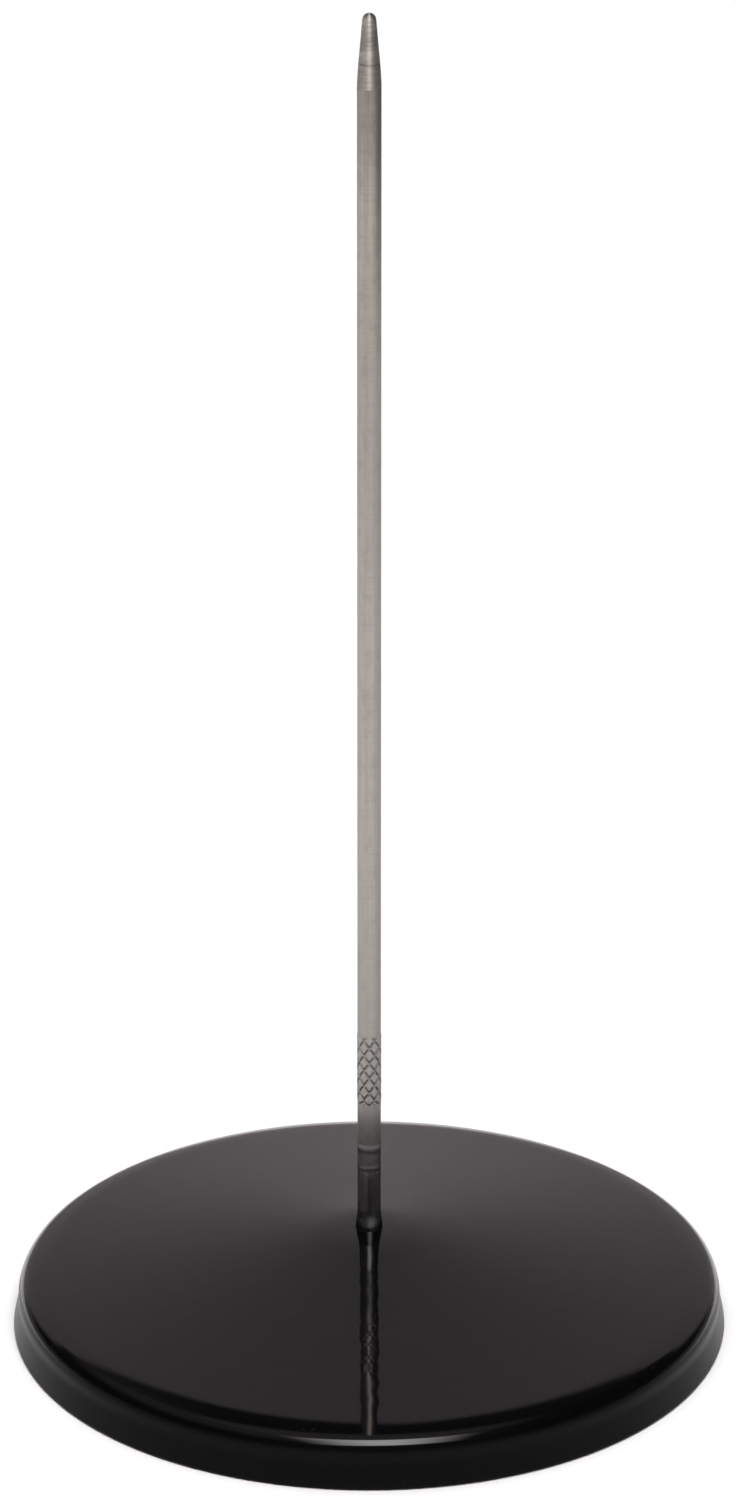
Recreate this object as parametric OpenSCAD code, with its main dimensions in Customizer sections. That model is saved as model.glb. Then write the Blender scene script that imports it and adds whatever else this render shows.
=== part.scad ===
// Desk bill spike: a pointed steel spike riveted through the hub of a low cast-iron base.
// Z is up, the origin is the middle of the foot on the desk, and all sizes are millimetres.

/* [Base] */
// Diameter across the foot
base_d = 85.7; // [74:0.1:104]
// Lean of the skirt from upright, in degrees
skirt_draft = 12; // [4:0.5:15]
// Height of the crease where the skirt meets the shoulder
crease_h = 3.3; // [2.4:0.1:3.6]
// Height of the rim corner before it is rounded
rim_h = 5.75; // [5.5:0.05:7]
// Radius of the rounded shoulder
shoulder_r = 2.2; // [1:0.1:2.3]
// Slope of the rim between the crown and the shoulder, in degrees
rim_slope = 20; // [16:1:26]
// Width of the rim, from where the crown starts to roll over to the skirt
rim_w = 2.95; // [2.8:0.05:4]
// Radius of the roll between the crown and the rim
roll_r = 11; // [6:1:12]
// Height of the crown where it meets the spike
hub_h = 12.4; // [11.5:0.1:15]
// Slope of the crown round the spike, in degrees
hub_slope = 2; // [0:0.5:4]
// Diameter at which the crown eases from its cone to the flatter hub
hub_d = 8.8; // [8:0.1:12]
// Radius of that easing
hub_ease_r = 30; // [10:1:32]
// Radius of the fillet that turns the crown up against the spike
hub_fillet_r = 0.7; // [0.4:0.1:1.5]
// Width of the thin lip that the fillet leaves round the spike
hub_lip_w = 0.15; // [0.1:0.05:0.4]
// Radius of the broken edge round the foot
foot_edge_r = 0.3; // [0.1:0.1:0.8]

/* [Underside] */
// Thickness of the crown
crown_t = 3; // [2.2:0.1:3.2]
// Width of the flat ring that stands on the desk
foot_w = 3.4; // [2.6:0.1:5]
// Radius inside the hollow where the crown turns into the skirt
hollow_r = 1.2; // [0.4:0.1:1.4]
// Diameter of the boss at its lower end
boss_d = 10; // [9:0.5:14]
// Draft of the boss, in degrees
boss_draft = 6; // [2:1:12]
// Radius at the root of the boss
boss_root_r = 2; // [0.5:0.1:2.4]
// Radius of the lower edge of the boss
boss_edge_r = 0.4; // [0.1:0.1:0.6]

/* [Spike] */
// Diameter of the drawn rod
rod_d = 2.8; // [2.4:0.1:3.6]
// Height of the tip above the desk
overall_h = 165; // [110:1:230]
// Length of the ground point
point_l = 8.5; // [6:0.5:16]
// Length of the lead-in cone next to the rod
lead_l = 1.8; // [0.8:0.1:3]
// Drop in radius over the lead-in cone
lead_drop = 0.09; // [0.04:0.01:0.15]
// Radius of the blunt nose
nose_r = 0.8; // [0.4:0.05:0.9]

/* [Knurl] */
// Height of the lower end of the knurled band
knurl_z = 29.1; // [20:0.1:50]
// Length of the knurled band
knurl_l = 9.2; // [5:0.1:16]
// Grooves of each hand round the rod
knurl_starts = 7; // [5:1:10]
// Distance along the rod between grooves of one hand
knurl_pitch = 1.97; // [1.4:0.01:3]
// Depth of the grooves below the crests
knurl_depth = 0.17; // [0.08:0.01:0.25]
// How far the crests stand proud of the rod
knurl_crest = 0.04; // [0.03:0.01:0.08]

/* [Rivet] */
// Space between the rivet head and the desk
rivet_gap = 1.3; // [0.6:0.1:2]
// Height of the peened head
rivet_h = 1.1; // [0.7:0.1:1.5]
// How far the peened head laps over the washer on each side
rivet_lap = 1; // [0.7:0.1:1.4]
// Distance from the rim of the washer to the side of the boss
washer_margin = 1; // [0.7:0.1:1.6]
// Thickness of the washer
washer_t = 0.8; // [0.5:0.1:1.2]

/* [Fits] */
// Clearance on each side between the rod and the bore of the base, a drive fit
bore_clearance = 0.01; // [0.01:0.01:0.05]
// Clearance on each side between the rod and the hole in the washer
washer_clearance = 0.1; // [0.05:0.05:0.2]

/* [Hidden] */

round_fn = 180;
rod_fn = 96;
past = 1;
blend = 0.002;
wedge_t = 0.4;
wedge_w = 1.3;

skirt_slope = tan(skirt_draft);
foot_r = base_d / 2 + foot_edge_r * (tan(45 + skirt_draft / 2) - 1);
rim_r = foot_r - crease_h * skirt_slope;
rod_r = rod_d / 2;
bore_r = rod_r + bore_clearance;
lip_r = bore_r + hub_lip_w;

roll_rim_r = rim_r - rim_w;
roll_rim_h = rim_h + rim_w * tan(rim_slope);
hub_r = hub_d / 2;
hub_rim_h = hub_h - (hub_r - lip_r) * tan(hub_slope);
crown_slope = (hub_rim_h - roll_rim_h) / (roll_rim_r - hub_r);
crown_angle = atan(crown_slope);
lip_h = hub_h + hub_fillet_r;

rivet_r = rod_r + rivet_lap;
washer_r = boss_d / 2 - washer_margin;
washer_z = rivet_gap + rivet_h;
boss_z = washer_z + washer_t;
boss_r = boss_d / 2;
boss_slope = tan(boss_draft);

hollow_foot_r = foot_r - foot_w;
hollow_drop = crown_t / cos(crown_angle);
hollow_rim_h = (crown_h(hollow_foot_r) - hollow_drop) / (1 - crown_slope * skirt_slope);
hollow_rim_r = hollow_foot_r - hollow_rim_h * skirt_slope;
boss_root_h = (crown_h(boss_r) - hollow_drop + boss_z * crown_slope * boss_slope)
    / (1 + crown_slope * boss_slope);
boss_root = boss_r + (boss_root_h - boss_z) * boss_slope;

lead_r = rod_r - lead_drop;
lead_z = overall_h - point_l + lead_l;
nose_z = overall_h - nose_r;
nose_reach = norm([lead_r, nose_z - lead_z]);
nose_turn = atan(lead_r / (nose_z - lead_z)) - asin(nose_r / nose_reach);

knurl_steps = 6;
knurl_rows = round(knurl_l * knurl_steps / knurl_pitch);
knurl_cols = knurl_starts * knurl_steps;
knurl_row_h = knurl_l / knurl_rows;
knurl_cross = 5;
crest_r = rod_r + knurl_crest;
rod_bite = knurl_row_h * knurl_crest / knurl_depth / 2;
knurl_top = knurl_z + knurl_l;

// Height of the crown's cone at a radius
function crown_h(r) = roll_rim_h + (roll_rim_r - r) * crown_slope;

// Corner of an outline at p between its neighbours a and b, rounded to radius r
function unit(v) = v / norm(v);
function half_angle(p, a, b) = acos(unit(a - p) * unit(b - p)) / 2;
function cut_length(p, a, b, r) = r / tan(half_angle(p, a, b));
function turns_left(p, a, b) = cross(p - a, b - p) > 0;
function corner(p, a, b, r) = r == 0
    ? [p]
    : [p + unit(a - p) * cut_length(p, a, b, r), p + unit(b - p) * cut_length(p, a, b, r)];

// Circle of a rounded corner, a hair over size so that it crosses both sides cleanly
module corner_circle(p, a, b, r) {
    translate(p + unit(unit(a - p) + unit(b - p)) * r / sin(half_angle(p, a, b)))
        circle(r = r + blend, $fn = rod_fn);
}

// Wedge that keeps of that circle only the part at the corner, a little wider than the arc
module corner_wedge(p, a, b, r) {
    ends = corner(p, a, b, r);
    inwards = unit(unit(a - p) + unit(b - p)) * min(r, wedge_t);
    polygon([
        p - inwards,
        p + (ends[0] - p) * wedge_w,
        (ends[0] + ends[1]) / 2 + inwards,
        p + (ends[1] - p) * wedge_w
    ]);
}

// Outline with its points listed anticlockwise as [point, radius], rounded with true arcs
module rounded_outline(list) {
    n = len(list);
    before = function(i) list[(i + n - 1) % n][0];
    after = function(i) list[(i + 1) % n][0];
    difference() {
        union() {
            polygon([
                for (i = [0 : n - 1])
                    each corner(list[i][0], before(i), after(i), list[i][1])
            ]);
            for (i = [0 : n - 1])
                if (list[i][1] > 0 && turns_left(list[i][0], before(i), after(i)))
                    intersection() {
                        corner_circle(list[i][0], before(i), after(i), list[i][1]);
                        corner_wedge(list[i][0], before(i), after(i), list[i][1]);
                    }
        }
        for (i = [0 : n - 1])
            if (list[i][1] > 0 && !turns_left(list[i][0], before(i), after(i)))
                corner_circle(list[i][0], before(i), after(i), list[i][1]);
    }
}

// Outside of the casting as half a section
module casting_outline() {
    intersection() {
        rounded_outline([
            [[0, 0], 0],
            [[foot_r, 0], foot_edge_r],
            [[rim_r, crease_h], 0],
            [[rim_r, rim_h], shoulder_r],
            [[roll_rim_r, roll_rim_h], roll_r],
            [[hub_r, hub_rim_h], hub_ease_r],
            [[lip_r, hub_h], hub_fillet_r],
            [[lip_r, lip_h], 0],
            [[0, lip_h], 0]
        ]);
        square([base_d, overall_h]);
    }
}

// Hollow under the casting as half a section
module hollow_outline() {
    rounded_outline([
        [[0, -past], 0],
        [[hollow_foot_r + past * skirt_slope, -past], 0],
        [[hollow_rim_r, hollow_rim_h], hollow_r],
        [[boss_root, boss_root_h], boss_root_r],
        [[boss_r, boss_z], boss_edge_r],
        [[0, boss_z], 0]
    ]);
}

// Cast-iron base: flared skirt, rounded shoulder, rolled rim, conical crown, hollow back with a bored boss
module base_casting() {
    color([0.04, 0.04, 0.045])
        difference() {
            rotate_extrude($fn = round_fn)
                difference() {
                    casting_outline();
                    hollow_outline();
                }
            cylinder(r = bore_r, h = lip_h + past, $fn = rod_fn);
        }
}

// Peened head under the washer
module rivet_head() {
    cap_r = (rivet_r * rivet_r + rivet_h * rivet_h) / (2 * rivet_h);
    rotate_extrude($fn = rod_fn)
        intersection() {
            translate([0, rivet_gap + cap_r])
                circle(r = cap_r, $fn = round_fn);
            square([2 * rivet_r, washer_z]);
        }
}

// Ground point with a lead-in cone, a long cone and a blunt round nose
module ground_point() {
    nose_cut = nose_r * sin(nose_turn);
    rotate_extrude($fn = rod_fn)
        union() {
            polygon([
                [0, overall_h - point_l],
                [rod_r, overall_h - point_l],
                [lead_r, lead_z],
                [nose_r * cos(nose_turn), nose_z + nose_cut],
                [0, nose_z + nose_cut]
            ]);
            intersection() {
                translate([0, nose_z])
                    circle(r = nose_r, $fn = rod_fn);
                translate([0, nose_z + nose_cut])
                    square([rod_d, nose_r]);
            }
        }
}

// Radius of the knurl at a column and row of its grid: crest, or groove of either hand
function on_groove(x) = (x % knurl_steps + knurl_steps) % knurl_steps == 0;
function in_groove(c, k) = k > 0 && k < knurl_rows
    && (on_groove(c + k - knurl_cross) || on_groove(c - k + knurl_cross));
function knurl_r(c, k) = crest_r - (in_groove(c, k) ? knurl_depth : 0);
function knurl_point(c, k) =
    let (turn = 360 * c / knurl_cols - 90, r = knurl_r(c, k))
    [r * cos(turn), r * sin(turn), knurl_z + k * knurl_row_h];
function grid(c, k) = c % knurl_cols + k * knurl_cols;
function falls(c, k) =
    knurl_r(c, k) + knurl_r(c + 1, k + 1) < knurl_r(c + 1, k) + knurl_r(c, k + 1);

// Diamond knurl: crossing right-hand and left-hand grooves, each along the diagonals of one grid
module knurled_band() {
    polyhedron(
        points = [
            for (k = [0 : knurl_rows])
                for (c = [0 : knurl_cols - 1])
                    knurl_point(c, k)
        ],
        faces = [
            [for (c = [0 : knurl_cols - 1]) grid(c, 0)],
            [for (c = [knurl_cols - 1 : -1 : 0]) grid(c, knurl_rows)],
            for (k = [0 : knurl_rows - 1])
                for (c = [0 : knurl_cols - 1])
                    each falls(c, k)
                        ? [
                            [grid(c, k), grid(c + 1, k + 1), grid(c + 1, k)],
                            [grid(c, k), grid(c, k + 1), grid(c + 1, k + 1)]
                        ]
                        : [
                            [grid(c, k), grid(c, k + 1), grid(c + 1, k)],
                            [grid(c + 1, k), grid(c, k + 1), grid(c + 1, k + 1)]
                        ]
        ]
    );
}

// Drawn steel spike: peened tail, straight rod, knurled band and ground point
module spike() {
    color([0.66, 0.64, 0.61])
        union() {
            rivet_head();
            translate([0, 0, washer_z])
                cylinder(r = rod_r, h = knurl_z + rod_bite - washer_z, $fn = rod_fn);
            knurled_band();
            translate([0, 0, knurl_top - rod_bite])
                cylinder(r = rod_r, h = overall_h - point_l - knurl_top + rod_bite, $fn = rod_fn);
            ground_point();
        }
}

// Steel washer that spreads the peened head over the boss
module rivet_washer() {
    color([0.52, 0.52, 0.53])
        translate([0, 0, washer_z])
            difference() {
                cylinder(r = washer_r, h = washer_t, $fn = rod_fn);
                translate([0, 0, -past])
                    cylinder(r = rod_r + washer_clearance, h = washer_t + 2 * past, $fn = rod_fn);
            }
}

base_casting();
spike();
rivet_washer();
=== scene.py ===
import math

import bpy
import bmesh
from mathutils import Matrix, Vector


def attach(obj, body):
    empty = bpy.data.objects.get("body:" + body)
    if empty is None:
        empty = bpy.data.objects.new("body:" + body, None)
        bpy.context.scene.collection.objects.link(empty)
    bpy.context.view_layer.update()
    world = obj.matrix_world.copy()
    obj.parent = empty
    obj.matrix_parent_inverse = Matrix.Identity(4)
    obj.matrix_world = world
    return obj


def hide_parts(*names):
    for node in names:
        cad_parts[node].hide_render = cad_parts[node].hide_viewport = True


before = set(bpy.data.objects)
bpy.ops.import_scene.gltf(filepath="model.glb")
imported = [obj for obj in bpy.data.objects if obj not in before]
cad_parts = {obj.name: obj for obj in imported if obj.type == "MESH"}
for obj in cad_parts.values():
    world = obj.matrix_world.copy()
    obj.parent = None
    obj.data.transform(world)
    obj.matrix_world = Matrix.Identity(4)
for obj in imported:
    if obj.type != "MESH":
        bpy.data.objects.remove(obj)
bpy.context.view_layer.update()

# lengths in the dictionaries of the pieces are in millimetres, those of the studio in metres
mm = 0.001
samePoint = 1e-6                # points of an outline closer than this are one
scene = bpy.context.scene


# Small tools for node trees

class Wire:
    # one socket, so that maths on it can be written as an expression
    def __init__(self, bench, socket):
        self.bench = bench
        self.socket = socket

    def math(self, operation, *others):
        return self.bench.maths(operation, self, *others)

    def __add__(self, other):
        return self.math("ADD", other)

    def __radd__(self, other):
        return self.bench.maths("ADD", other, self)

    def __sub__(self, other):
        return self.math("SUBTRACT", other)

    def __rsub__(self, other):
        return self.bench.maths("SUBTRACT", other, self)

    def __mul__(self, other):
        return self.math("MULTIPLY", other)

    def __rmul__(self, other):
        return self.bench.maths("MULTIPLY", other, self)

    def __truediv__(self, other):
        return self.math("DIVIDE", other)

    def __rtruediv__(self, other):
        return self.bench.maths("DIVIDE", other, self)

    def __abs__(self):
        return self.math("ABSOLUTE")


class Bench:
    # adds nodes to one tree, shader or geometry
    def __init__(self, tree):
        self.tree = tree

    def find(self, sockets, key):
        if isinstance(key, int):
            return sockets[key]
        for socket in sockets:
            if socket.enabled and socket.name == key:
                return socket
        raise KeyError(key)

    def plug(self, socket, value):
        if isinstance(value, Wire):
            self.tree.links.new(value.socket, socket)
        else:
            socket.default_value = value

    def add(self, kind, settings, inputs, output=0):
        node = self.tree.nodes.new(kind)
        for name, value in settings.items():
            setattr(node, name, value)
        for name, value in inputs.items():
            self.plug(self.find(node.inputs, name), value)
        return Wire(self, self.find(node.outputs, output))

    def maths(self, operation, *values):
        return self.add("ShaderNodeMath", {"operation": operation}, dict(enumerate(values)))

    def ease(self, value, low, high, atLow=0.0, atHigh=1.0):
        # smooth step from low to high
        ends = {"Value": value, "From Min": low, "From Max": high, "To Min": atLow, "To Max": atHigh}
        return self.add("ShaderNodeMapRange", {"interpolation_type": "SMOOTHSTEP"}, ends)

    def hump(self, value, middle, half):
        # a smooth bump of height 1, half wide on each side of the middle
        offset = (value - middle) / half
        rise = (1.0 - offset * offset).math("MAXIMUM", 0.0)
        return rise * rise

    def split(self, vector):
        node = self.tree.nodes.new("ShaderNodeSeparateXYZ")
        self.plug(node.inputs[0], vector)
        return [Wire(self, socket) for socket in node.outputs]

    def join(self, x, y, z):
        return self.add("ShaderNodeCombineXYZ", {}, {"X": x, "Y": y, "Z": z})

    def dot(self, vector, fixed):
        return self.add("ShaderNodeVectorMath", {"operation": "DOT_PRODUCT"}, {0: vector, 1: fixed}, "Value")

    def stretch(self, vector, scales):
        return self.add("ShaderNodeVectorMath", {"operation": "MULTIPLY"}, {0: vector, 1: scales})

    def noise(self, vector, scale, detail=2.0, rough=0.5):
        # grain from 0 to 1 about 0.5
        values = {"Vector": vector, "Scale": scale, "Detail": detail, "Roughness": rough}
        return self.add("ShaderNodeTexNoise", {"noise_dimensions": "3D"}, values, 0)

    def blendColours(self, factor, first, second):
        values = {"Factor": factor, "A": first, "B": second}
        return self.add("ShaderNodeMix", {"data_type": "RGBA"}, values, "Result")

    def attribute(self, name):
        return self.add("ShaderNodeAttribute", {"attribute_name": name}, {}, "Fac")

    def bump(self, height):
        # height is in metres
        values = {"Height": height, "Strength": 1.0, "Distance": 1.0}
        return self.add("ShaderNodeBump", {}, values, "Normal")

    def where(self):
        # the place on the piece, in metres
        return self.add("ShaderNodeTexCoord", {}, {}, "Object")


def newMaterial(name):
    material = bpy.data.materials.new(name)
    material.use_nodes = True
    material.node_tree.nodes.clear()
    return material, Bench(material.node_tree)


def surfaceOf(bench, sockets):
    return bench.add("ShaderNodeBsdfPrincipled", {}, sockets, "BSDF")


def showSurface(bench, surface):
    output = bench.tree.nodes.new("ShaderNodeOutputMaterial")
    bench.plug(output.inputs["Surface"], surface)


def shade(bench, sockets):
    # one surface shader and the output
    showSurface(bench, surfaceOf(bench, sockets))


def arc(centre, radius, start, end, steps):
    # points of an arc in the r, z half plane, angles in degrees
    points = []
    for step in range(steps + 1):
        angle = math.radians(start + (end - start) * step / steps)
        points.append((centre[0] + radius * math.cos(angle), centre[1] + radius * math.sin(angle)))
    return points


def run(first, last, steps):
    # evenly spaced points of a straight line, both ends included
    return [(first[0] + (last[0] - first[0]) * step / steps,
             first[1] + (last[1] - first[1]) * step / steps) for step in range(steps + 1)]


def roundCorner(before, corner, after, radius, steps):
    # points of the arc that rounds one corner of an outline
    at = Vector(corner)
    back = (Vector(before) - at).normalized()
    on = (Vector(after) - at).normalized()
    half = back.angle(on) / 2.0
    centre = at + (back + on).normalized() * (radius / math.sin(half))
    first = at + back * (radius / math.tan(half)) - centre
    last = at + on * (radius / math.tan(half)) - centre
    start = math.atan2(first.y, first.x)
    sweep = math.atan2(first.x * last.y - first.y * last.x, first.dot(last))
    return arc(centre, radius, math.degrees(start), math.degrees(start + sweep), steps)


def chain(*parts):
    # joins the parts of an outline and drops repeated points
    points = []
    for part in parts:
        for point in part:
            if not points or math.dist(points[-1], point) > samePoint:
                points.append(point)
    return points


def easeMm(bench, value, ends):
    # smooth step of a length between two ends in millimetres
    return bench.ease(value, ends[0] * mm, ends[1] * mm)


def outlineObject(name, points):
    # the outline as a wire, turned from millimetres into metres, for the turning tree to spin
    mesh = bpy.data.meshes.new(name)
    corners = [(r * mm, 0.0, z * mm) for r, z in points]
    edges = [(index, index + 1) for index in range(len(corners) - 1)]
    mesh.from_pydata(corners, edges, [])
    obj = bpy.data.objects.new(name, mesh)
    scene.collection.objects.link(obj)
    return obj


# Turning an outline round the upright axis

turning = {
    "weld": 2e-7,               # metres, closes the seam and the poles
    "sharpAngle": 35.0,         # degrees, edges sharper than this stay crisp
}


def newTurningTree(name, sizes):
    # the names and kinds of the sizes become the inputs of the tree
    tree = bpy.data.node_groups.new(name, "GeometryNodeTree")
    tree.interface.new_socket(name="Outline", in_out="INPUT", socket_type="NodeSocketGeometry")
    for label, value in sizes.items():
        kind = "NodeSocketInt" if isinstance(value, int) else "NodeSocketFloat"
        tree.interface.new_socket(name=label, in_out="INPUT", socket_type=kind)
    tree.interface.new_socket(name="Finish", in_out="INPUT", socket_type="NodeSocketMaterial")
    tree.interface.new_socket(name="Piece", in_out="OUTPUT", socket_type="NodeSocketGeometry")
    bench = Bench(tree)
    group = tree.nodes.new("NodeGroupInput")
    given = {socket.name: Wire(bench, socket) for socket in group.outputs if socket.name}
    return tree, bench, given


def spinOutline(bench, given):
    # a grid with one column for each segment and one row for each point of the outline
    rows = bench.add("GeometryNodeAttributeDomainSize", {"component": "MESH"},
                     {"Geometry": given["Outline"]}, "Point Count")
    columns = given["Segments"] + 1.0
    grid = bench.add("GeometryNodeMeshGrid", {}, {"Vertices X": columns, "Vertices Y": rows}, "Mesh")
    index = bench.add("GeometryNodeInputIndex", {}, {})
    row = index.math("MODULO", rows)
    column = (index / rows).math("FLOOR")
    place = bench.add("GeometryNodeInputPosition", {}, {})
    spot = bench.add("GeometryNodeSampleIndex", {"data_type": "FLOAT_VECTOR", "domain": "POINT"},
                     {"Geometry": given["Outline"], "Value": place, "Index": row}, "Value")
    radius, _, height = bench.split(spot)
    share = column / given["Segments"]       # 0 to 1 round the axis, from the front
    angle = share * math.tau - math.pi / 2.0
    return grid, radius, height, share, angle


def placeTurned(bench, grid, radius, height, angle):
    spot = bench.join(radius * angle.math("COSINE"), radius * angle.math("SINE"), height)
    return bench.add("GeometryNodeSetPosition", {}, {"Geometry": grid, "Position": spot}, "Geometry")


def keepValue(bench, geometry, name, value):
    # a named value on the points, for the material to read
    return bench.add("GeometryNodeStoreNamedAttribute", {"data_type": "FLOAT", "domain": "POINT"},
                     {"Geometry": geometry, "Name": name, "Value": value}, "Geometry")


def endTurned(bench, geometry, given):
    merged = bench.add("GeometryNodeMergeByDistance", {},
                       {"Geometry": geometry, "Distance": turning["weld"]}, "Geometry")
    smooth = bench.add("GeometryNodeSetShadeSmooth", {},
                       {"Geometry": merged, "Shade Smooth": True}, "Geometry")
    real = bench.add("GeometryNodeRealizeInstances", {}, {"Geometry": smooth}, "Geometry")
    dressed = bench.add("GeometryNodeSetMaterial", {},
                        {"Geometry": real, "Material": given["Finish"]}, "Geometry")
    output = bench.tree.nodes.new("NodeGroupOutput")
    bench.plug(output.inputs["Piece"], dressed)


def turn(name, points, tree, sizes, material):
    # spins the outline through the tree and keeps the result as a plain mesh
    obj = outlineObject(name, points)
    modifier = obj.modifiers.new("turned", "NODES")
    modifier.node_group = tree
    sockets = {item.name: item.identifier for item in tree.interface.items_tree if item.in_out == "INPUT"}
    for label, value in sizes.items():
        modifier[sockets[label]] = value
    modifier[sockets["Finish"]] = material
    depsgraph = bpy.context.evaluated_depsgraph_get()
    turned = obj.evaluated_get(depsgraph)
    mesh = bpy.data.meshes.new_from_object(turned, preserve_all_data_layers=True, depsgraph=depsgraph)
    obj.modifiers.clear()
    obj.data = mesh
    mesh.name = name
    work = bmesh.new()
    work.from_mesh(mesh)
    bmesh.ops.recalc_face_normals(work, faces=work.faces)
    openEdges = sum(1 for edge in work.edges if len(edge.link_faces) != 2)
    volume = work.calc_volume(signed=True)
    if volume < 0.0:
        bmesh.ops.reverse_faces(work, faces=work.faces)
    triangles = sum(len(face.verts) - 2 for face in work.faces)
    work.to_mesh(mesh)
    work.free()
    mesh.materials.clear()
    mesh.materials.append(material)
    mesh.polygons.foreach_set("material_index", [0] * len(mesh.polygons))
    mesh.set_sharp_from_angle(angle=math.radians(turning["sharpAngle"]))
    print(name, "triangles", triangles, "open edges", openEdges, "volume mm3", round(abs(volume) * 1e9, 2))
    return obj


# The enamelled base

base = {
    "segments": 288,
    "footRadius": 42.92,        # where the skirt would meet the desk
    "skirtDraft": 12.0,         # degrees
    "creaseHeight": 3.3,
    "creaseRound": 4.0,
    "rimHeight": 5.78,          # corners before they are rounded
    "rimSlope": 17.0,
    "rimWidth": 2.75,
    "rollRound": 18.0,
    "shoulderRound": 2.2,
    "hubHeight": 12.4,
    "hubSlope": 2.0,
    "hubRadius": 4.4,
    "hubRound": 30.0,
    "bore": 1.41,
    "lip": 1.56,
    "creepTop": (1.42, 14.9),   # where the enamel ends on the rod
    "creepBottom": 12.6,
    "creepLean": 6.9,           # degrees, its flare towards the crown
    "creepEase": 1.0,           # height over which the flare starts
    "creepRound": 0.05,
    "footEdge": 0.3,
    "footInner": 39.52,         # inner edge of the foot, where the hollow starts
    "hollowWall": (38.882, 3.002),
    "hollowCorner": ((37.708, 2.83), 1.187, 8.4, 84.6),     # centre, radius, from and to degrees
    "hollowRoof": ((37.812, 4.016), (7.785, 8.732)),
    "bossCorner": ((7.47, 6.78), 1.98, 80.8, 176.0),
    "bossWall": ((5.388, 6.891), (5.042, 3.598)),
    "bossEdge": ((4.64, 3.6), 0.4, 0.0, -90.0),
    "bossBottom": 3.2,
    "waviness": 0.006,          # slow waves left by the mould and the enamel
    "waveLength": 11.0,
    "waveShift": 310.0,         # picks another part of the pattern
    "waveInner": (3.0, 9.0),    # radii between which the waves start
    "waveOuter": (36.0, 40.5),  # and end
    "waveFoot": (0.5, 3.0),     # heights, the foot stays flat
    "peel": 0.009,              # the finer orange peel of the enamel
    "peelLength": 1.7,
    "footFlat": 0.02,           # the worn foot lies below this height
    "footFrom": 39.0,           # and outside this radius
    "hollowRadius": 39.53,
    "hollowDepth": 1.2,         # faces this far under the crown are in the hollow
    "creepReach": 2.2,          # the gathered enamel lies inside this radius
    "creepFrom": 12.5,          # and above this height
    "enamelBlack": (0.0018, 0.0017, 0.0017, 1.0),
    "dustGrey": (0.06, 0.06, 0.06, 1.0),
    "crownIor": 1.4,
    "crownRough": 0.04,
    "skirtTop": (4.8, 5.35),    # heights between which the skirt's coat gives way to the crown's
    "skirtGloss": 0.4,          # the skirt takes a thinner, duller coat than the crown
    "skirtIor": 1.22,
    "skirtRough": 0.3,
    "creepThin": (13.9, 14.5),  # the gathered enamel thins out to grey between these heights
    "creepGlint": (0.28, 0.75, 0.05),   # painted highlight, a spot where the coat is glossier: middle, outer and inner half width
    "creepGlintFront": -0.6,         # y at which the painted highlight is strongest
    "creepBlack": ((0.0012, 0.0012, 0.0012, 1.0), (0.003, 0.003, 0.003, 1.0)),
    "creepGrey": (0.015, 0.0155, 0.0155, 1.0),
    "hollowColours": ((0.006, 0.0058, 0.006, 1.0), (0.021, 0.020, 0.019, 1.0)),
    "footColours": ((0.004, 0.004, 0.004, 1.0), (0.23, 0.22, 0.21, 1.0)),     # enamel and bare iron
}


def wallRadius():
    return base["footRadius"] - base["creaseHeight"] * math.tan(math.radians(base["skirtDraft"]))


def crownEnds():
    rollR = wallRadius() - base["rimWidth"]
    rollZ = base["rimHeight"] + base["rimWidth"] * math.tan(math.radians(base["rimSlope"]))
    hubR = base["hubRadius"]
    hubZ = base["hubHeight"] - (hubR - base["lip"]) * math.tan(math.radians(base["hubSlope"]))
    return rollR, rollZ, hubR, hubZ


def crownHeight(r):
    # the cone of the crown between its rim and its hub
    rollR, rollZ, hubR, hubZ = crownEnds()
    return rollZ + (rollR - r) * (hubZ - rollZ) / (rollR - hubR)


def creepOutline(hub):
    # enamel creeps up the rod in a slight flare, and rounds into the crown below
    topR, topZ = base["creepTop"]
    steep = math.tan(math.radians(base["creepLean"]))
    steps = 20
    points = []
    for step in range(steps + 1):
        z = topZ + (base["creepBottom"] - topZ) * step / steps
        fall = topZ - z
        eased = min(fall, base["creepEase"])
        points.append((topR + steep * (eased * eased / (2.0 * base["creepEase"]) + fall - eased), z))
    flat = math.tan(math.radians(base["hubSlope"]))
    endR, endZ = points[-1]
    drop = (endZ - base["hubHeight"] + (endR - base["lip"]) * flat) / (1.0 - steep * flat)
    corner = (endR + steep * drop, endZ - drop)
    return chain(points, roundCorner(points[-1], corner, hub, base["creepRound"], 12))


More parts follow.
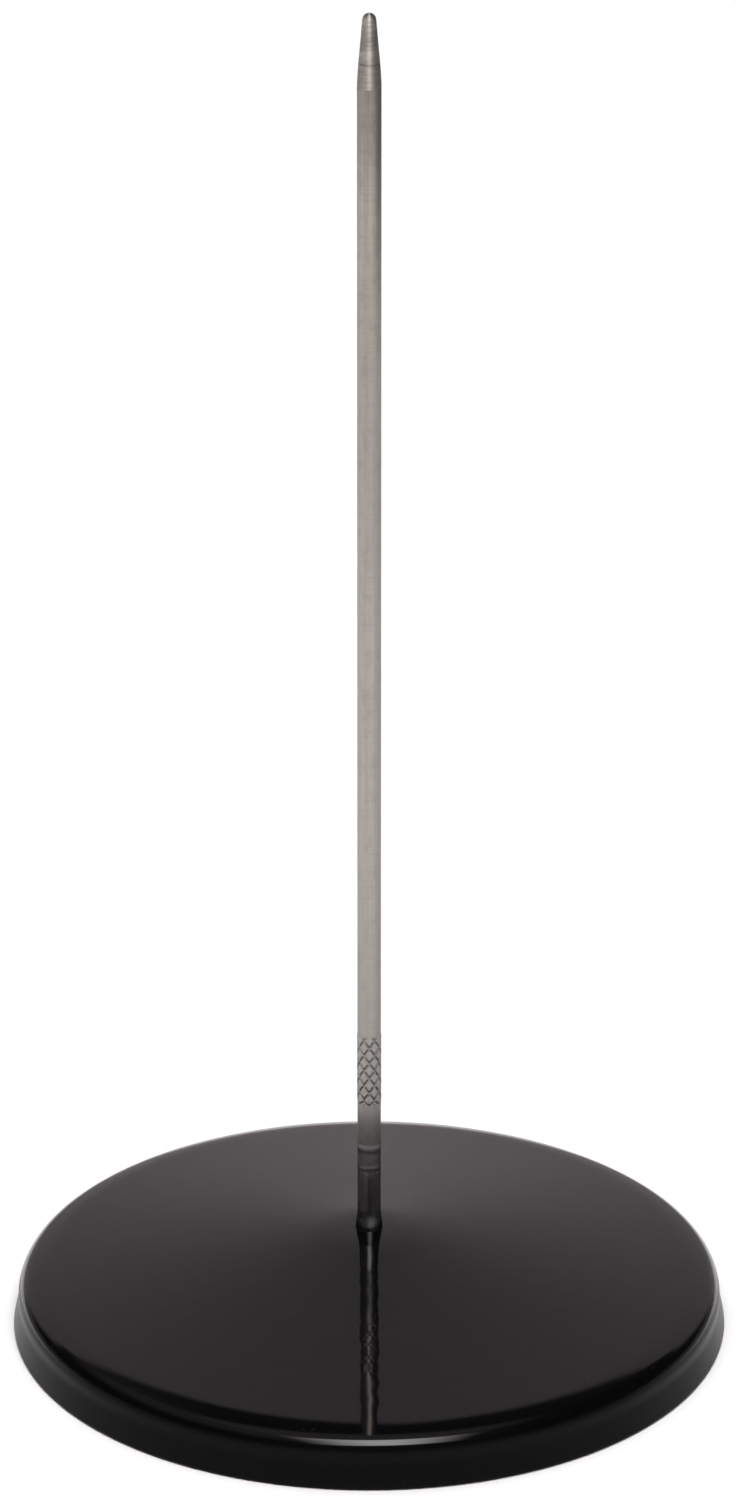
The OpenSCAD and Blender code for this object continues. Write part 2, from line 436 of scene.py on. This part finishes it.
def baseOutline():
    lean = math.radians(base["skirtDraft"])
    foot = base["footRadius"]
    crease = base["creaseHeight"]
    wall = wallRadius()
    rollR, rollZ, hubR, hubZ = crownEnds()
    rim = (wall, base["rimHeight"])
    roll = (rollR, rollZ)
    hub = (hubR, hubZ)
    creep = creepOutline(hub)
    ease = roundCorner(creep[-1], hub, roll, base["hubRound"], 16)
    bend = roundCorner(hub, roll, rim, base["rollRound"], 16)
    shoulder = roundCorner(roll, rim, (wall, crease), base["shoulderRound"], 24)
    edge = base["footEdge"]
    edgeCentre = (foot - edge * math.tan(math.radians(45.0 + base["skirtDraft"] / 2.0)), edge)
    skew = base["creaseRound"] * math.tan(lean / 2.0)
    creaseCentre = (wall + base["creaseRound"], crease + skew)
    skirtAtEdge = (edgeCentre[0] + edge * math.cos(lean), edgeCentre[1] + edge * math.sin(lean))
    outside = chain(
        run((base["bore"], base["bossBottom"]), (base["bore"], base["creepTop"][1]), 4),
        creep,
        ease,
        run(ease[-1], bend[0], 66),
        bend,
        shoulder,
        arc(creaseCentre, base["creaseRound"], 180.0, 180.0 + base["skirtDraft"], 9),
        run((creaseCentre[0] - base["creaseRound"] * math.cos(lean),
             creaseCentre[1] - base["creaseRound"] * math.sin(lean)), skirtAtEdge, 8),
        arc(edgeCentre, edge, base["skirtDraft"], -90.0, 8),
    )
    inner = (base["footInner"], 0.0)
    inside = chain(
        run((edgeCentre[0], 0.0), inner, 6),
        run(inner, base["hollowWall"], 5),
        arc(*base["hollowCorner"], 8),
        run(*base["hollowRoof"], 30),
        arc(*base["bossCorner"], 12),
        run(*base["bossWall"], 5),
        arc(*base["bossEdge"], 6),
        [(base["bore"], base["bossBottom"])],
    )
    return chain(outside, inside)


def baseSizes():
    return {
        "Segments": base["segments"],
        "Waviness": base["waviness"] * mm,
        "Wave Length": base["waveLength"] * mm,
        "Peel": base["peel"] * mm,
        "Peel Length": base["peelLength"] * mm,
    }


def baseTree(sizes):
    tree, bench, given = newTurningTree("turnedBase", sizes)
    grid, radius, height, _, angle = spinOutline(bench, given)
    shifted = height + base["waveShift"] * mm
    spot = bench.join(radius * angle.math("COSINE"), radius * angle.math("SINE"), shifted)
    waves = bench.noise(spot, 1.0 / given["Wave Length"], 1.0) - 0.5
    peel = bench.noise(spot, 1.0 / given["Peel Length"], 0.0) - 0.5

    # the hub, the rim and the foot keep their true shape
    clear = easeMm(bench, radius, base["waveInner"]) * (1.0 - easeMm(bench, radius, base["waveOuter"]))
    clear = clear * easeMm(bench, height, base["waveFoot"])
    lift = (waves * given["Waviness"] + peel * given["Peel"]) * clear * 2.0
    turned = placeTurned(bench, grid, radius, height + lift, angle)
    endTurned(bench, turned, given)
    return tree


def glossEnamel():
    material, bench = newMaterial("glossBlackEnamel")
    where = bench.where()
    peel = bench.noise(where, 420.0, 1.0) - 0.5
    slow = bench.noise(where, 130.0, 1.0) - 0.5
    mottle = bench.noise(where, 90.0, 3.0)
    dust = bench.ease(bench.noise(where, 2600.0, 1.0), 0.74, 0.80)
    coat = {
        "Base Color": bench.blendColours(dust * 0.25, base["enamelBlack"], base["dustGrey"]),
        "Roughness": 0.25 + mottle * 0.2 + dust * 0.3,
        "Specular IOR Level": 0.04,
        "IOR": 1.4,
        "Coat Weight": 1.0 - dust * 0.2,
        "Coat Roughness": base["crownRough"],
        "Coat IOR": base["crownIor"],
        "Normal": bench.bump(peel * 1.3e-5 + slow * 1.6e-5),
    }
    thinCoat = dict(coat)
    thinCoat["Coat Weight"] = base["skirtGloss"] - dust * 0.1
    thinCoat["Coat Roughness"] = base["skirtRough"]
    thinCoat["Coat IOR"] = base["skirtIor"]
    crown = surfaceOf(bench, coat)
    skirt = surfaceOf(bench, thinCoat)
    upper = easeMm(bench, bench.split(where)[2], base["skirtTop"])
    showSurface(bench, bench.add("ShaderNodeMixShader", {}, {0: upper, 1: skirt, 2: crown}, "Shader"))
    return material


def creepEnamel():
    # thick enamel gathered round the rod, with a painted highlight in front
    material, bench = newMaterial("gatheredEnamel")
    where = bench.where()
    lumps = bench.noise(where, 900.0, 2.0) - 0.5
    mottle = bench.noise(where, 240.0, 3.0)
    x, y, z = bench.split(where)
    middle, outer, inner = base["creepGlint"]
    # painted highlight: the coat is glossier in a narrow upright spot in front, a little right of the middle
    glint = easeMm(bench, abs(x - middle * mm), (outer, inner))
    glint = glint * easeMm(bench, y, (0.0, base["creepGlintFront"]))
    colour = bench.blendColours(mottle, *base["creepBlack"])
    colour = bench.blendColours(easeMm(bench, z, base["creepThin"]), colour, base["creepGrey"])
    shade(bench, {
        "Base Color": colour,
        "Roughness": 0.3 + mottle * 0.2,
        "Specular IOR Level": 0.04,
        "Coat Weight": 0.22 + glint * 0.7 + mottle * 0.08,
        "Coat Roughness": 0.14,
        "Coat IOR": 1.9,
        "Normal": bench.bump(lumps * 8.0e-6),
    })
    return material


def hollowEnamel():
    material, bench = newMaterial("thinEnamelInside")
    where = bench.where()
    grain = bench.noise(where, 900.0, 4.0, 0.6)
    lumps = bench.noise(where, 160.0, 2.0)
    thin = bench.ease(lumps * 0.6 + grain * 0.6, 0.50, 0.80)
    colour = bench.blendColours(thin, *base["hollowColours"])
    shade(bench, {
        "Base Color": colour,
        "Roughness": 0.38 + grain * 0.3,
        "IOR": 1.4,
        "Normal": bench.bump(grain * 6.0e-5 + lumps * 1.2e-4),
    })
    return material


def footEnamel():
    # worn where it stands on the desk
    material, bench = newMaterial("wornFootEnamel")
    where = bench.where()
    patches = bench.noise(where, 210.0, 4.0, 0.65)
    scratches = bench.noise(bench.stretch(where, (2600.0, 320.0, 1.0)), 1.0, 2.0)
    worn = bench.ease(patches + (scratches - 0.5) * 0.3, 0.55, 0.66)
    colour = bench.blendColours(worn, *base["footColours"])
    shade(bench, {
        "Base Color": colour,
        "Metallic": worn * 0.9,
        "Roughness": 0.28 + worn * 0.2,
        "IOR": 1.4,
        "Normal": bench.bump(scratches * 8.0e-6 - worn * 2.0e-5),
    })
    return material


def makeBase():
    sizes = baseSizes()
    obj = turn("enamelledBase", baseOutline(), baseTree(sizes), sizes, glossEnamel())
    obj.data.materials.append(hollowEnamel())
    obj.data.materials.append(footEnamel())
    obj.data.materials.append(creepEnamel())
    for face in obj.data.polygons:
        r = math.hypot(face.center.x, face.center.y) / mm
        z = face.center.z / mm
        if z < base["footFlat"] and r > base["footFrom"]:
            face.material_index = 2
        elif r < base["hollowRadius"] and z < crownHeight(r) - base["hollowDepth"]:
            face.material_index = 1
        elif r < base["creepReach"] and z > base["creepFrom"]:
            face.material_index = 3
    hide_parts("base_casting")
    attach(obj, "root")


# The spike

spike = {
    "segments": 140,
    "rod": 1.4,
    "tip": 165.0,
    "pointStart": 156.5,
    "lead": (158.3, 1.31),      # height and radius where the lead-in ends
    "noseJoin": (164.269, 0.797),   # and where the nose starts
    "nose": 0.8,
    "knurlStart": 29.1,
    "knurlLength": 9.2,
    "knurlStarts": 7,
    "knurlPitch": 1.971,        # height from one groove to the next
    "knurlCrossing": 30.743,    # height of a crossing in front
    "knurlDepth": 0.085,
    "knurlCrest": 0.04,
    "knurlFade": (0.4, 0.35),   # lengths over which it starts and ends
    "grooveWidth": 0.36,        # share of the pitch
    "grooveDirt": 0.5,
    "headRadius": 2.4,
    "headHeight": 1.1,
    "seat": 2.4,
    "hammerDepth": 0.12,
    "hammerEdge": (2.3, 2.1),   # the hammer marks lie below these heights
    "beads": (                  # height, half width, rise
        (23.25, 0.62, 0.024),
        (20.7, 0.36, 0.013),
    ),
    "groundStart": 156.25,
    "groundRings": (            # height, half width, depth, stain
        (162.0, 1.5, 0.008, 0.26),
        (159.15, 0.16, 0.02, 0.45),
    ),
    "lowRows": ((20.2, 8), (21.2, 18), (22.6, 4), (23.9, 22)),   # rows of the mesh up to each height
    "knurlRows": 112,
    "pointRows": 76,
    "pointEase": 0.6,           # the rows come closer this far below the point
    "poleEase": (0.0, 0.4),     # radii, nothing moves at the two poles
    "paintedShadeGrey": (                   # painted shade: darker and greyer below each first height, from one height to another, and how dark
        (140.0, 104.0, 0.13),
        (72.0, 36.0, 0.10),
        (29.5, 25.5, 0.35),
    ),
    "paintedShadeDark": (                # the same, painted shade too, low on the rod and towards the point, but it leaves the drawn lines to be seen
        (31.5, 25.0, 0.25),
        (85.0, 135.0, 0.20),
        (141.0, 156.0, 0.28),
    ),
    "sideShade": 0.22,        # painted shade: the right side is darker
    "sideShadeTop": 0.5,      # and more so towards the point
    "sideHeights": (118.0, 152.0),
    "sideShare": (0.15, 0.85),  # shares of the radius, to the right
    "sideBack": (0.55, -0.15),  # the same to the back, where it fades out
    # painted shade on the right flank of the point
    "pointShade": 0.58,
    "pointShare": (-0.5, 0.95),
    "pointLow": (159.9, 159.2),     # the point is duller below these heights
    "smoothUnshadedFoot": (20.9, 19.3),     # the rod is smoother below these, and the painted shade is lifted off it there
    "dullFrom": (45.0, 30.0),       # and a little duller below these
    "drawnDark": (0.355, 0.322, 0.288, 1.0),
    "drawnLight": (0.565, 0.517, 0.464, 1.0),
    "broadColour": (0.545, 0.506, 0.463, 1.0),
    "stainColour": (0.27, 0.243, 0.213, 1.0),
    "blotchColour": (0.30, 0.277, 0.252, 1.0),
    "ringColour": (0.27, 0.25, 0.23, 1.0),
    "grooveColour": (0.13, 0.105, 0.095, 1.0),
    "landColour": (0.50, 0.475, 0.44, 1.0),
    # the grey of the painted shade bands
    "greyShadeColour": (0.415, 0.405, 0.393, 1.0),
    # the dark of the painted shade
    "paintedShadeColour": (0.01, 0.01, 0.01, 1.0),
    "groundDark": (0.56, 0.519, 0.478, 1.0),
    "groundLight": (0.95, 0.90, 0.85, 1.0),
    "groundDull": (0.40, 0.365, 0.33, 1.0),
    "groundStain": (0.10, 0.092, 0.085, 1.0),
    # the dark of the painted shade on the point
    "groundShadeColour": (0.06, 0.05, 0.045, 1.0),
    "edgeTint": (0.7, 0.68, 0.66, 1.0),
}


def spikeOutline():
    rod = spike["rod"]
    cap = (spike["headRadius"] ** 2 + spike["headHeight"] ** 2) / (2.0 * spike["headHeight"])
    capCentre = (0.0, spike["seat"] - spike["headHeight"] + cap)
    capAngle = math.degrees(math.asin(spike["headRadius"] / cap))
    noseCentre = (0.0, spike["tip"] - spike["nose"])
    noseAngle = math.degrees(math.acos(min(1.0, spike["noseJoin"][1] / spike["nose"])))
    knurlStart = (rod, spike["knurlStart"])
    knurlEnd = (rod, spike["knurlStart"] + spike["knurlLength"])
    pointStart = (rod, spike["pointStart"])
    belowPoint = (rod, spike["pointStart"] - spike["pointEase"])
    lead = (spike["lead"][1], spike["lead"][0])
    noseJoin = (spike["noseJoin"][1], spike["noseJoin"][0])
    lowRod = [(rod, spike["seat"])]
    for height, rows in spike["lowRows"]:
        lowRod = chain(lowRod, run(lowRod[-1], (rod, height), rows))
    return chain(
        arc(capCentre, cap, -90.0, -90.0 + capAngle, 12),
        lowRod,
        run(lowRod[-1], knurlStart, 5),
        run(knurlStart, knurlEnd, spike["knurlRows"]),
        run(knurlEnd, belowPoint, 24),
        run(belowPoint, pointStart, 3),
        run(pointStart, lead, 20),
        run(lead, noseJoin, spike["pointRows"]),
        arc(noseCentre, spike["nose"], noseAngle, 90.0, 12),
    )


def spikeSizes():
    sizes = {
        "Segments": spike["segments"],
        "Knurl Start": spike["knurlStart"] * mm,
        "Knurl Length": spike["knurlLength"] * mm,
        "Knurl Starts": spike["knurlStarts"],
        "Knurl Pitch": spike["knurlPitch"] * mm,
        "Knurl Crossing": spike["knurlCrossing"] * mm,
        "Knurl Depth": spike["knurlDepth"] * mm,
        "Knurl Crest": spike["knurlCrest"] * mm,
        "Groove Width": spike["grooveWidth"],
        "Hammer Depth": spike["hammerDepth"] * mm,
    }
    for word, bead, ring in zip(("One", "Two"), spike["beads"], spike["groundRings"]):
        sizes["Bead " + word] = bead[0] * mm
        sizes["Bead " + word + " Width"] = bead[1] * mm
        sizes["Bead " + word + " Rise"] = bead[2] * mm
        sizes["Ring " + word] = ring[0] * mm
        sizes["Ring " + word + " Width"] = ring[1] * mm
        sizes["Ring " + word + " Depth"] = ring[2] * mm
    return sizes


def spikeTree(sizes):
    tree, bench, given = newTurningTree("turnedSpike", sizes)
    grid, radius, height, share, angle = spinOutline(bench, given)

    # two sets of grooves, one to each hand, crossing into diamonds
    climb = (height - given["Knurl Crossing"]) / given["Knurl Pitch"]
    across = share * given["Knurl Starts"]
    first = abs((across + climb + 0.5).math("FLOORED_MODULO", 1.0) - 0.5)
    second = abs((across - climb + 0.5).math("FLOORED_MODULO", 1.0) - 0.5)
    aroundRod = bench.join(angle.math("COSINE"), angle.math("SINE"), height * 300.0)
    uneven = bench.noise(aroundRod, 2.3, 2.0)
    halfWidth = given["Groove Width"] * 0.5 * (0.75 + uneven * 0.5)
    cutOne = bench.ease(first, 0.0, halfWidth, 1.0, 0.0)
    cutTwo = bench.ease(second, 0.0, halfWidth, 1.0, 0.0)
    deep = cutOne.math("MAXIMUM", cutTwo)
    top = given["Knurl Start"] + given["Knurl Length"]
    fadeIn, fadeOut = spike["knurlFade"]
    inBand = bench.ease(height, given["Knurl Start"], given["Knurl Start"] + fadeIn * mm)
    inBand = inBand * bench.ease(height, top - fadeOut * mm, top, 1.0, 0.0)
    groove = deep * inBand
    relief = inBand * given["Knurl Crest"] - groove * given["Knurl Depth"] * (0.8 + uneven * 0.4)

    # two faint rings raised low on the rod
    beadOne = bench.hump(height, given["Bead One"], given["Bead One Width"])
    beadTwo = bench.hump(height, given["Bead Two"], given["Bead Two Width"])
    relief = relief + beadOne * given["Bead One Rise"] + beadTwo * given["Bead Two Rise"]

    # grinding rings on the point and hammer marks on the peened tail
    ringOne = bench.hump(height, given["Ring One"], given["Ring One Width"])
    ringTwo = bench.hump(height, given["Ring Two"], given["Ring Two Width"])
    relief = relief - ringOne * given["Ring One Depth"] - ringTwo * given["Ring Two Depth"]
    spot = bench.join(radius * angle.math("COSINE"), radius * angle.math("SINE"), height)
    marks = bench.noise(spot, 900.0, 1.0)
    lift = marks * easeMm(bench, height, spike["hammerEdge"]) * given["Hammer Depth"]

    shaped = radius + relief * easeMm(bench, radius, spike["poleEase"])
    placed = placeTurned(bench, grid, shaped, height + lift, angle)
    kept = keepValue(bench, placed, "groove", groove)
    kept = keepValue(bench, kept, "land", inBand - groove)
    kept = keepValue(bench, kept, "ringOne", ringOne)
    kept = keepValue(bench, kept, "ringTwo", ringTwo)
    endTurned(bench, kept, given)
    return tree


def aroundSpike(bench, where):
    # how far to the right of the axis, how far in front of it, and the height
    x, y, z = bench.split(where)
    out = (x * x + y * y).math("SQRT").math("MAXIMUM", 0.1 * mm)
    return x / out, bench.ease(y / out, *spike["sideBack"]), z


def spikeSteel():
    material, bench = newMaterial("drawnSteel")
    where = bench.where()
    side, front, z = aroundSpike(bench, where)
    groove = bench.attribute("groove")

    # lines drawn along the rod, stains and faint rings
    drawn = bench.noise(bench.stretch(where, (3800.0, 3800.0, 60.0)), 1.0, 3.0, 0.6)
    broad = bench.noise(bench.stretch(where, (1700.0, 1700.0, 12.0)), 1.0, 2.0)
    stains = bench.noise(where, 120.0, 4.0, 0.6)
    blotches = bench.noise(bench.stretch(where, (900.0, 900.0, 430.0)), 1.0, 3.0, 0.6)
    rings = bench.noise(bench.stretch(where, (240.0, 240.0, 3000.0)), 1.0, 2.0)

    # how free of painted shade the steel is, from 0 to 1
    unshaded = 1.0
    # painted shade in bands, lower on the rod, which greys the steel as well
    for start, end, dark in spike["paintedShadeGrey"]:
        unshaded = unshaded * (1.0 - easeMm(bench, z, (start, end)) * dark)
    greyShade = 1.0 - unshaded
    # more painted shade, low on the rod and towards the point
    for start, end, dark in spike["paintedShadeDark"]:
        unshaded = unshaded * (1.0 - easeMm(bench, z, (start, end)) * dark)
    # painted shade down the right side, more of it towards the point and fading to the back
    reach = spike["sideShade"] + easeMm(bench, z, spike["sideHeights"]) * spike["sideShadeTop"]
    unshaded = unshaded * (1.0 - bench.ease(side, *spike["sideShare"]) * front * reach)
    foot = easeMm(bench, z, spike["smoothUnshadedFoot"])
    # the painted shade is lifted off the smooth bottom of the rod
    unshaded = unshaded + foot * (0.58 - bench.ease(broad, 0.40, 0.60) * 0.35)

    steel = bench.blendColours(drawn, spike["drawnDark"], spike["drawnLight"])
    steel = bench.blendColours(bench.ease(broad, 0.35, 0.7) * 0.35, steel, spike["broadColour"])
    steel = bench.blendColours(bench.ease(stains, 0.5, 0.8) * 0.3, steel, spike["stainColour"])
    steel = bench.blendColours(bench.ease(blotches, 0.45, 0.72) * 0.40, steel, spike["blotchColour"])
    steel = bench.blendColours(bench.ease(rings, 0.50, 0.70) * 0.16, steel, spike["ringColour"])
    steel = bench.blendColours(groove * spike["grooveDirt"], steel, spike["grooveColour"])
    steel = bench.blendColours(bench.attribute("land") * 0.5, steel, spike["landColour"])
    # the steel is greyed where the painted shade bands lie
    steel = bench.blendColours(greyShade * 2.2, steel, spike["greyShadeColour"])
    dull = easeMm(bench, z, spike["dullFrom"])
    shade(bench, {
        # darkened where the steel has painted shade
        "Base Color": bench.blendColours(1.0 - unshaded, steel, spike["paintedShadeColour"]),
        "Metallic": 1.0,
        "Roughness": 0.26 + drawn * 0.06 + dull * 0.06 + groove * 0.06 - foot * 0.13,
        "Specular Tint": spike["edgeTint"],
        "Anisotropic": 0.5,
        "Normal": bench.bump((drawn - 0.5) * 7.0e-6 + (broad - 0.5) * 1.6e-5),
    })
    return material


def groundSteel():
    # the point, ground round and round
    material, bench = newMaterial("groundSteel")
    where = bench.where()
    side, front, z = aroundSpike(bench, where)
    ground = bench.noise(bench.stretch(where, (420.0, 420.0, 3000.0)), 1.0, 3.0, 0.7)
    patches = bench.noise(where, 1300.0, 3.0, 0.65)
    colour = bench.blendColours(bench.ease(ground, 0.27, 0.73), spike["groundDark"], spike["groundLight"])
    colour = bench.blendColours(bench.ease(patches, 0.45, 0.75) * 0.35, colour, spike["groundDull"])
    colour = bench.blendColours(easeMm(bench, z, spike["pointLow"]) * 0.3, colour, spike["groundDull"])
    # painted shade on the right flank of the point, fading to the back
    paintedShadeDark = bench.ease(side, *spike["pointShare"]) * front * spike["pointShade"]
    colour = bench.blendColours(paintedShadeDark, colour, spike["groundShadeColour"])
    for name, ring in zip(("ringOne", "ringTwo"), spike["groundRings"]):
        colour = bench.blendColours(bench.attribute(name) * ring[3], colour, spike["groundStain"])
    shade(bench, {
        "Base Color": colour,
        "Metallic": 1.0,
        "Roughness": 0.45 + ground * 0.4,
        "Specular Tint": spike["edgeTint"],
        "Anisotropic": 0.85,
        "Anisotropic Rotation": 0.25,
        "Normal": bench.bump((ground - 0.5) * 9.0e-6),
    })
    return material


def makeSpike():
    sizes = spikeSizes()
    obj = turn("drawnSpike", spikeOutline(), spikeTree(sizes), sizes, spikeSteel())
    obj.data.materials.append(groundSteel())
    for face in obj.data.polygons:
        if face.center.z > spike["groundStart"] * mm:
            face.material_index = 1
    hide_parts("spike")
    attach(obj, "root")


# The washer under the peened tail

washer = {
    "segments": 96,
    "hole": 1.5,
    "outside": 4.0,
    "bottom": 2.4,
    "top": 3.2,
    "burr": 0.12,               # round edge left by the punch
    "holeEdge": 0.02,           # tiny bevel at the top of the hole
    "rolledColours": ((0.30, 0.30, 0.295, 1.0), (0.45, 0.45, 0.445, 1.0)),
    "stainColour": (0.14, 0.125, 0.11, 1.0),
}


def washerOutline():
    edge = washer["burr"]
    small = washer["holeEdge"]
    inner = washer["hole"]
    outer = washer["outside"]
    low = washer["bottom"]
    high = washer["top"]
    return chain(
        run((inner, high - small), (inner, low + edge), 3),
        arc((inner + edge, low + edge), edge, 180.0, 270.0, 5),
        run((inner + edge, low), (outer - edge, low), 8),
        arc((outer - edge, low + edge), edge, -90.0, 0.0, 5),
        run((outer, low + edge), (outer, high), 3),
        run((outer, high), (inner + small, high), 8),
        [(inner, high - small)],
    )


def washerTree(sizes):
    tree, bench, given = newTurningTree("turnedWasher", sizes)
    grid, radius, height, _, angle = spinOutline(bench, given)
    turned = placeTurned(bench, grid, radius, height, angle)
    endTurned(bench, turned, given)
    return tree


def washerSteel():
    material, bench = newMaterial("stampedSteel")
    where = bench.where()
    rolled = bench.noise(bench.stretch(where, (3000.0, 260.0, 260.0)), 1.0, 3.0, 0.6)
    stains = bench.noise(where, 420.0, 4.0, 0.6)
    steel = bench.blendColours(rolled, *washer["rolledColours"])
    colour = bench.blendColours(bench.ease(stains, 0.5, 0.75) * 0.6, steel, washer["stainColour"])
    shade(bench, {
        "Base Color": colour,
        "Metallic": 1.0,
        "Roughness": 0.36 + stains * 0.22,
        "Normal": bench.bump((rolled - 0.5) * 6.0e-6 + stains * 1.0e-5),
    })
    return material


def makeWasher():
    sizes = {"Segments": washer["segments"]}
    obj = turn("rivetWasher", washerOutline(), washerTree(sizes), sizes, washerSteel())
    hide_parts("rivet_washer")
    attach(obj, "root")


# Desk, light and camera

studio = {
    "deskHalf": 4.0,
    "deskHeight": -0.00004,     # just under the foot
    "deskColour": 0.93,
    "deskGrain": 0.012,
    "cameraPlace": (-0.00014, -0.8199, 0.4327),
    "cameraAim": (-0.00014, 0.0, 0.0748),
    "lens": 183.72,             # millimetres, as is the sensor
    "sensor": 36.0,
    "clip": (0.01, 50.0),
    "boxTurn": 6.0,             # degrees right of the camera
    "boxTilt": 57.0,            # degrees above the desk
    "boxHalf": (0.20, 0.29),    # sines of the half angles, across and up
    "boxSoft": (0.20, 0.05),
    "boxLight": 8.6,
    "wallLight": 0.41,
    "wallTint": (1.06, 0.96, 0.975, 1.0),
    "wallTop": 0.79,            # sine of the height at which the pale wall ends
    "wallSoft": 0.035,
    "wallMiddle": 0.03,         # where that edge is highest
    "wallDip": 0.42,            # how fast it falls to the sides
    "wallSides": (0.52, 0.72),
    "wallFront": (0.1, 0.5),    # the wall stands behind the spike
    "sideGlow": 0.19,           # soft light high on the left
    "sideAcross": (-0.15, -0.45),
    "sideUp": (0.55, 0.8),
    "lowLight": 0.22,           # dim band round the room near the desk
    "lowTop": (0.10, 0.26),
    "lowFront": (-0.95, -0.86),     # with a gap behind the camera
    "ceilingGlow": 0.3,
    "ceilingFrom": (0.86, 0.99),
    "roomLight": 0.006,
    "fillPower": 17.0,          # overhead lamp for the desk, unseen by the enamel and steel
    "fillSize": 1.6,
    "fillHeight": 1.6,
}


def makeDesk():
    half = studio["deskHalf"]
    z = studio["deskHeight"]
    mesh = bpy.data.meshes.new("paleDesk")
    mesh.from_pydata([(-half, -half, z), (half, -half, z), (half, half, z), (-half, half, z)],
                     [], [(0, 1, 2, 3)])
    desk = bpy.data.objects.new("paleDesk", mesh)
    scene.collection.objects.link(desk)
    material, bench = newMaterial("paleDeskTop")
    grain = bench.noise(bench.where(), 300.0, 2.0) - 0.5
    tone = studio["deskColour"] + grain * studio["deskGrain"]
    colour = bench.add("ShaderNodeCombineColor", {}, {"Red": tone, "Green": tone, "Blue": tone})
    shade(bench, {"Base Color": colour, "Roughness": 0.9, "Specular IOR Level": 0.0})
    mesh.materials.append(material)


def makeFill():
    data = bpy.data.lights.new("overheadFill", "AREA")
    data.shape = "SQUARE"
    data.size = studio["fillSize"]
    data.energy = studio["fillPower"]
    lamp = bpy.data.objects.new("overheadFill", data)
    scene.collection.objects.link(lamp)
    lamp.location = (0.0, 0.0, studio["fillHeight"])
    lamp.visible_glossy = False


def makeRoom():
    world = bpy.data.worlds.new("studioRoom")
    scene.world = world
    world.use_nodes = True
    world.node_tree.nodes.clear()
    bench = Bench(world.node_tree)
    way = bench.add("ShaderNodeTexCoord", {}, {}, "Generated")
    x, y, z = bench.split(way)
    turnBy = math.radians(studio["boxTurn"])
    tilt = math.radians(studio["boxTilt"])
    centre = Vector((math.sin(turnBy) * math.cos(tilt), -math.cos(turnBy) * math.cos(tilt), math.sin(tilt)))
    right = centre.cross(Vector((0.0, 0.0, 1.0))).normalized()
    up = right.cross(centre)
    softAcross, softUp = studio["boxSoft"]
    wide, tall = studio["boxHalf"]
    across = abs(bench.dot(way, tuple(right)))
    along = abs(bench.dot(way, tuple(up)))
    ahead = bench.ease(bench.dot(way, tuple(centre)), 0.0, 0.1)
    box = bench.ease(across, wide - softAcross, wide + softAcross, 1.0, 0.0)
    box = box * bench.ease(along, tall - softUp, tall + softUp, 1.0, 0.0) * ahead
    edge = z + abs(x - studio["wallMiddle"]) * studio["wallDip"]
    top = studio["wallTop"]
    soft = studio["wallSoft"]
    wall = bench.ease(edge, top - soft, top + soft, 1.0, 0.0)
    wall = wall * bench.ease(abs(x), *studio["wallSides"], 1.0, 0.0)
    wall = wall * bench.ease(y, *studio["wallFront"])
    low = bench.ease(z, *studio["lowTop"], 1.0, 0.0) * bench.ease(y, *studio["lowFront"])
    pale = (wall * studio["wallLight"]).math("MAXIMUM", low * studio["lowLight"])
    ceiling = bench.ease(z, *studio["ceilingFrom"]) * studio["ceilingGlow"]
    side = bench.ease(x, *studio["sideAcross"]) * bench.ease(z, *studio["sideUp"]) * studio["sideGlow"]
    light = box * studio["boxLight"] + pale + ceiling + side + studio["roomLight"]
    tint = bench.blendColours(box.math("MINIMUM", 1.0), studio["wallTint"], (1.0, 1.0, 1.0, 1.0))
    sky = bench.add("ShaderNodeBackground", {}, {"Color": tint, "Strength": light}, "Background")
    output = bench.tree.nodes.new("ShaderNodeOutputWorld")
    bench.plug(output.inputs["Surface"], sky)


def makeCamera():
    data = bpy.data.cameras.new("photoCamera")
    data.lens = studio["lens"]
    data.sensor_width = studio["sensor"]
    data.sensor_fit = "AUTO"
    data.clip_start, data.clip_end = studio["clip"]
    camera = bpy.data.objects.new("photoCamera", data)
    scene.collection.objects.link(camera)
    place = Vector(studio["cameraPlace"])
    look = Vector(studio["cameraAim"]) - place
    camera.location = place
    camera.rotation_euler = look.to_track_quat("-Z", "Y").to_euler()
    scene.camera = camera


makeBase()
print("base made")
makeSpike()
print("spike made")
makeWasher()
print("washer made")
makeDesk()
makeFill()
makeRoom()
makeCamera()
scene.view_settings.view_transform = "Standard"
print("studio made")
